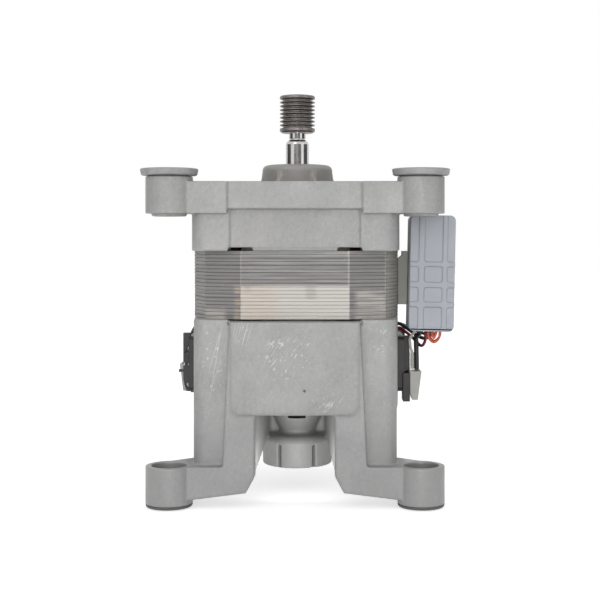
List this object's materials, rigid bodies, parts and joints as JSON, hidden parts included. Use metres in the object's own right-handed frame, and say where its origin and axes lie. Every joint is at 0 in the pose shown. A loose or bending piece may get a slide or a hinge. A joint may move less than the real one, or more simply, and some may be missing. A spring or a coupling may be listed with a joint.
{
  "type": "washing machine motor",
  "caption": "Belt-drive universal motor with die-cast end shields, laminated stator, ribbed pulley, four mounting lugs, carbon brushes and a connector block.",
  "frame": {"origin": "on the shaft axis at the middle plane of the belt", "axes": "+Z along the shaft out of the pulley end, -Y towards the side with the four mounting lugs, +X towards the connector block"},
  "size_m": [0.1809, 0.1411, 0.2391],
  "materials": {
    "turned_steel_dark": "turned steel with a thin brown-grey oxide",
    "ground_steel": "ground and polished shaft steel",
    "cast_aluminium": "pressure-die-cast aluminium, matte, with flow marks and scratches",
    "stator_laminations": "stacked steel sheets, edges bare and slightly oxidised",
    "coil_enamel": "enamelled copper wire under varnish",
    "insulation_plastic": "off-white insulating plastic",
    "plated_steel": "zinc-plated steel",
    "bush_metal": "sintered metal, dull grey",
    "bush_rubber": "dark rubber-and-metal bush",
    "bearing_steel": "polished bearing steel",
    "seal_rubber": "black bearing seal",
    "fan_plastic": "light moulded plastic",
    "commutator_resin": "brown moulding resin",
    "commutator_copper": "hard-drawn copper bars",
    "ferrite": "ferrite ring magnet",
    "black_plastic": "black glass-filled moulding",
    "grey_plastic": "light grey moulding",
    "blue_grey_plastic": "blue-grey satin moulding",
    "bracket_plastic": "olive-grey moulding",
    "brass_sheet": "stamped brass",
    "carbon": "pressed carbon-graphite",
    "black_insulation": "black lead insulation",
    "blue_black_insulation": "blue-black lead insulation",
    "white_sleeving": "white braided sleeving",
    "dark_red_insulation": "dark red lead insulation",
    "red_insulation": "orange-red lead insulation"
  },
  "bodies": {
    "motor_frame": {"drive_end_shield": "cast_aluminium", "brush_end_shield": "cast_aluminium", "stator_core": "stator_laminations", "front_field_coil": "coil_enamel", "rear_field_coil": "coil_enamel", "upper_coil_insulator": "insulation_plastic", "lower_coil_insulator": "insulation_plastic", "through_bolts": "plated_steel", "upper_left_bush": "bush_metal", "upper_right_bush": "bush_metal", "lower_left_bush": "bush_rubber", "lower_right_bush": "bush_rubber", "drive_bearing_outer_ring": "bearing_steel", "drive_bearing_seals": "seal_rubber", "drive_bearing_circlip": "turned_steel_dark", "brush_bearing_outer_ring": "bearing_steel", "brush_bearing_seals": "seal_rubber", "preload_washer": "plated_steel", "tacho_coil": "coil_enamel", "tacho_cap": "black_plastic", "left_brush_holder": "black_plastic", "right_brush_holder": "black_plastic", "left_brush_guide": "brass_sheet", "right_brush_guide": "brass_sheet", "left_brush_spring": "plated_steel", "right_brush_spring": "plated_steel", "brush_holder_screws": "plated_steel", "left_brush_terminal": "plated_steel", "right_brush_terminal": "plated_steel", "left_terminal_shroud": "grey_plastic", "right_terminal_shroud": "grey_plastic", "connector_housing": "blue_grey_plastic", "contact_carrier": "blue_grey_plastic", "contact_blades": "brass_sheet", "connector_bracket": "bracket_plastic", "bracket_screws": "plated_steel", "right_brush_lead": "black_insulation", "left_brush_lead": "black_insulation", "white_lead": "white_sleeving", "black_lead": "blue_black_insulation", "dark_red_lead": "dark_red_insulation", "red_leads": "red_insulation"},
    "rotor": {"pulley": "turned_steel_dark", "shaft": "ground_steel", "drive_bearing_inner_ring": "bearing_steel", "brush_bearing_inner_ring": "bearing_steel", "armature_core": "stator_laminations", "armature_winding": "coil_enamel", "slot_insulator": "insulation_plastic", "fan": "fan_plastic", "commutator_hub": "commutator_resin", "commutator_bars": "commutator_copper", "tacho_magnet": "ferrite"},
    "drive_ball_cage": {"drive_bearing_ball_set": "bearing_steel"},
    "brush_ball_cage": {"brush_bearing_ball_set": "bearing_steel"},
    "left_brush": {"left_brush": "carbon"},
    "right_brush": {"right_brush": "carbon"}
  },
  "joints": [
    {"name": "rotor_spin", "type": "hinge", "parent": "motor_frame", "child": "rotor", "pos_m": [0, 0, 0], "axis": [0, 0, 1], "continuous": true},
    {"name": "drive_ball_cage_spin", "type": "hinge", "parent": "motor_frame", "child": "drive_ball_cage", "pos_m": [0, 0, -0.0408], "axis": [0, 0, 1], "continuous": true},
    {"name": "brush_ball_cage_spin", "type": "hinge", "parent": "motor_frame", "child": "brush_ball_cage", "pos_m": [0, 0, -0.2036], "axis": [0, 0, 1], "continuous": true},
    {"name": "left_brush_slide", "type": "slide", "parent": "motor_frame", "child": "left_brush", "axis": [-1, 0, 0], "range_m": [0, 0.008], "stiffness_N_per_m": 150, "deforming": ["left_brush_spring"]},
    {"name": "right_brush_slide", "type": "slide", "parent": "motor_frame", "child": "right_brush", "axis": [1, 0, 0], "range_m": [0, 0.008], "stiffness_N_per_m": 150, "deforming": ["right_brush_spring"]}
  ],
  "couplings": [
    {"joint": "drive_ball_cage_spin", "follows": "rotor_spin", "ratio": 0.3812},
    {"joint": "brush_ball_cage_spin", "follows": "rotor_spin", "ratio": 0.365}
  ]
}
